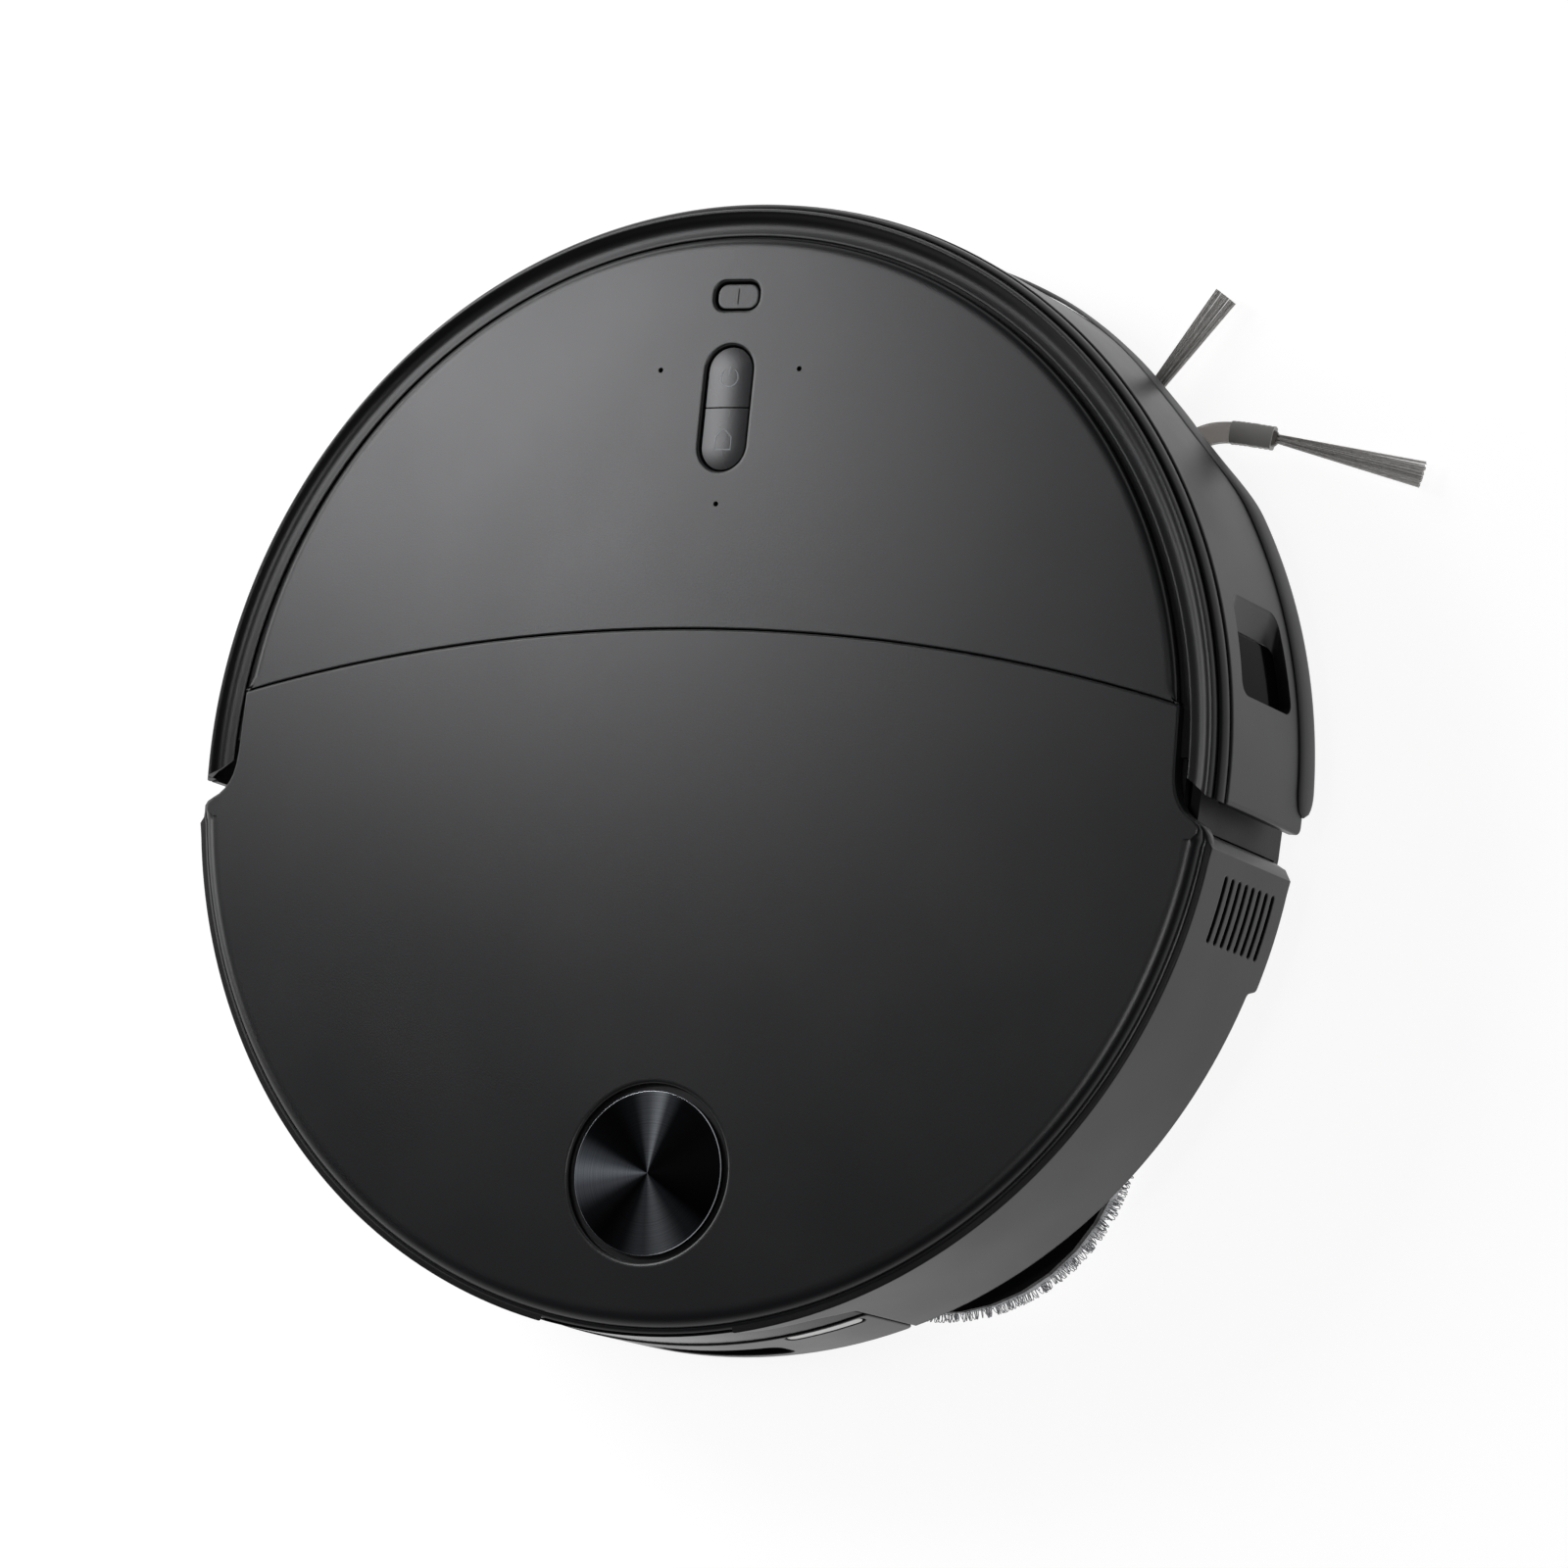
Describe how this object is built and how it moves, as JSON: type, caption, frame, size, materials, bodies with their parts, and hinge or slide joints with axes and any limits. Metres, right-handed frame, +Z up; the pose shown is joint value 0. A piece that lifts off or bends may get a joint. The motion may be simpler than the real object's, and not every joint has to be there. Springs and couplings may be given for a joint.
{
  "type": "robot vacuum",
  "caption": "Round low robot vacuum and mop with sprung bumper, lift-off rear cover, dustbin, drive wheels, main brush rollers, reaching side brush and spinning mop pads.",
  "frame": {"origin": "middle of the flat underside of the base pan, 10 mm above the floor that the robot stands on", "axes": "+Z up; -Y towards the front bumper; +X towards the robot's left side"},
  "size_m": [0.3776, 0.3516, 0.0798],
  "materials": {
    "black_abs_skin": "fine spark-eroded texture, satin black ABS top skin",
    "black_abs_wall": "smooth satin black ABS side walls",
    "black_gloss_trim": "semi-gloss black trim",
    "inner_plastic": "plain moulded black polypropylene and ABS",
    "soft_rubber": "matte soft black rubber",
    "tyre_rubber": "treaded black rubber",
    "infrared_glass": "polished infrared-pass black window",
    "key_plastic": "half-gloss black keys",
    "contact_steel": "plated steel charging contacts",
    "axle_steel": "ground steel pin",
    "spun_aluminium": "black anodised, radially spun aluminium",
    "microfibre": "light grey looped microfibre",
    "nylon_bristle": "grey nylon bristles",
    "smoked_tpu": "translucent smoke-grey flexible arms",
    "smoked_clear": "smoked clear polycarbonate bin and tank",
    "circuit_board": "green solder-masked board",
    "battery_wrap": "shrink-wrapped cells",
    "filter_media": "pleated white filter"
  },
  "bodies": {
    "chassis": {"base_pan": "inner_plastic", "rear_wall": "black_abs_wall", "top_panel": "black_abs_skin", "upper_deck": "inner_plastic", "dust_bay": "inner_plastic", "water_tank": "smoked_clear", "battery_pack": "battery_wrap", "battery_door": "inner_plastic", "main_board": "circuit_board", "suction_fan": "inner_plastic", "brush_housing": "inner_plastic", "brush_guard": "inner_plastic", "caster_socket": "inner_plastic", "side_brush_bracket": "inner_plastic", "front_camera_module": "inner_plastic", "rear_dock_module": "black_abs_wall", "rear_window": "infrared_glass", "cliff_sensor_front_left": "infrared_glass", "cliff_sensor_front_right": "infrared_glass", "cliff_sensor_side_left": "infrared_glass", "cliff_sensor_side_right": "infrared_glass", "wheel_bay_left": "inner_plastic", "wheel_bay_right": "inner_plastic", "charge_contact_left": "contact_steel", "charge_contact_right": "contact_steel"},
    "bumper": {"bumper_shell": "black_abs_wall", "bumper_trim": "black_gloss_trim", "bumper_strip": "soft_rubber", "side_sensor_glass": "infrared_glass", "front_sensor_glass": "infrared_glass"},
    "rear_cover": {"rear_cover": "black_abs_skin", "badge_disc": "spun_aluminium"},
    "dustbin": {"dustbin": "smoked_clear", "dustbin_lid": "inner_plastic", "dust_filter": "filter_media"},
    "power_key": {"power_key": "key_plastic"},
    "home_key": {"home_key": "key_plastic"},
    "main_switch_key": {"main_switch_key": "key_plastic"},
    "wheel_arm_left": {"wheel_arm_left": "inner_plastic"},
    "wheel_arm_right": {"wheel_arm_right": "inner_plastic"},
    "drive_wheel_left": {"wheel_hub_left": "black_abs_wall", "tyre_left": "tyre_rubber"},
    "drive_wheel_right": {"wheel_hub_right": "black_abs_wall", "tyre_right": "tyre_rubber"},
    "caster_fork": {"caster_fork": "inner_plastic", "caster_axle": "axle_steel"},
    "caster_wheel": {"caster_wheel": "black_abs_wall"},
    "brush_roller_left": {"brush_roller_left": "soft_rubber"},
    "brush_roller_right": {"brush_roller_right": "soft_rubber"},
    "side_brush_arm": {"side_brush_arm": "inner_plastic"},
    "side_brush": {"side_brush_hub": "smoked_tpu", "side_bristles_front": "nylon_bristle", "side_bristles_side": "nylon_bristle"},
    "mop_lift_left": {"mop_motor_left": "inner_plastic"},
    "mop_lift_right": {"mop_motor_right": "inner_plastic"},
    "mop_left": {"mop_plate_left": "inner_plastic", "mop_pad_left": "microfibre"},
    "mop_right": {"mop_plate_right": "inner_plastic", "mop_pad_right": "microfibre"}
  },
  "joints": [
    {"name": "bumper_press", "type": "slide", "parent": "chassis", "child": "bumper", "axis": [0, 1, 0], "range_m": [0, 0.0022], "stiffness_N_per_m": 800, "springref_m": -0.002},
    {"name": "cover_lift", "type": "slide", "parent": "chassis", "child": "rear_cover", "axis": [0, 0, 1], "range_m": [0, 0.12]},
    {"name": "dustbin_lift", "type": "slide", "parent": "chassis", "child": "dustbin", "axis": [0, 0, 1], "range_m": [0, 0.06]},
    {"name": "power_key_press", "type": "slide", "parent": "chassis", "child": "power_key", "axis": [0, 0, -1], "range_m": [0, 0.0006], "stiffness_N_per_m": 600, "springref_m": -0.0005},
    {"name": "home_key_press", "type": "slide", "parent": "chassis", "child": "home_key", "axis": [0, 0, -1], "range_m": [0, 0.0006], "stiffness_N_per_m": 600, "springref_m": -0.0005},
    {"name": "main_switch_key_press", "type": "slide", "parent": "chassis", "child": "main_switch_key", "axis": [0, 0, -1], "range_m": [0, 0.0008], "stiffness_N_per_m": 600, "springref_m": -0.0005},
    {"name": "suspension_left", "type": "hinge", "parent": "chassis", "child": "wheel_arm_left", "pos_m": [0.095, 0.038, 0.036], "axis": [1, 0, 0], "range_deg": [0, 25], "stiffness_Nm_per_rad": 0.15, "springref_deg": 85.94},
    {"name": "drive_left", "type": "hinge", "parent": "wheel_arm_left", "child": "drive_wheel_left", "pos_m": [0.1135, 0.004, 0.023], "axis": [1, 0, 0], "continuous": true},
    {"name": "suspension_right", "type": "hinge", "parent": "chassis", "child": "wheel_arm_right", "pos_m": [-0.095, 0.038, 0.036], "axis": [1, 0, 0], "range_deg": [0, 25], "stiffness_Nm_per_rad": 0.15, "springref_deg": 85.94},
    {"name": "drive_right", "type": "hinge", "parent": "wheel_arm_right", "child": "drive_wheel_right", "pos_m": [-0.1135, 0.004, 0.023], "axis": [1, 0, 0], "continuous": true},
    {"name": "caster_swivel", "type": "hinge", "parent": "chassis", "child": "caster_fork", "pos_m": [0, -0.13, 0], "axis": [0, 0, 1], "continuous": true},
    {"name": "caster_roll", "type": "hinge", "parent": "caster_fork", "child": "caster_wheel", "pos_m": [0, -0.126, 0.002], "axis": [1, 0, 0], "continuous": true},
    {"name": "roller_left_spin", "type": "hinge", "parent": "chassis", "child": "brush_roller_left", "pos_m": [0.04, -0.038, 0.0125], "axis": [1, 0, 0], "continuous": true},
    {"name": "roller_right_spin", "type": "hinge", "parent": "chassis", "child": "brush_roller_right", "pos_m": [-0.04, -0.038, 0.0125], "axis": [1, 0, 0], "continuous": true},
    {"name": "side_brush_swing", "type": "hinge", "parent": "chassis", "child": "side_brush_arm", "pos_m": [-0.092, -0.108, 0], "axis": [0, 0, 1], "range_deg": [-10, 0]},
    {"name": "side_brush_spin", "type": "hinge", "parent": "side_brush_arm", "child": "side_brush", "pos_m": [-0.1223, -0.0801, 0], "axis": [0, 0, 1], "continuous": true, "deforming": ["side_bristles_front", "side_bristles_side"]},
    {"name": "mop_lift_left", "type": "slide", "parent": "chassis", "child": "mop_lift_left", "axis": [0, 0, 1], "range_m": [0, 0.008]},
    {"name": "mop_spin_left", "type": "hinge", "parent": "mop_lift_left", "child": "mop_left", "pos_m": [0.0645, 0.0965, 0], "axis": [0, 0, 1], "continuous": true},
    {"name": "mop_lift_right", "type": "slide", "parent": "chassis", "child": "mop_lift_right", "axis": [0, 0, 1], "range_m": [0, 0.008]},
    {"name": "mop_spin_right", "type": "hinge", "parent": "mop_lift_right", "child": "mop_right", "pos_m": [-0.0645, 0.0965, 0], "axis": [0, 0, 1], "continuous": true}
  ],
  "couplings": [
    {"joint": "dustbin_lift", "follows": "cover_lift", "ratio": 0.5},
    {"joint": "roller_right_spin", "follows": "roller_left_spin", "ratio": 1},
    {"joint": "mop_lift_right", "follows": "mop_lift_left", "ratio": 1},
    {"joint": "mop_spin_right", "follows": "mop_spin_left", "ratio": -1}
  ]
}
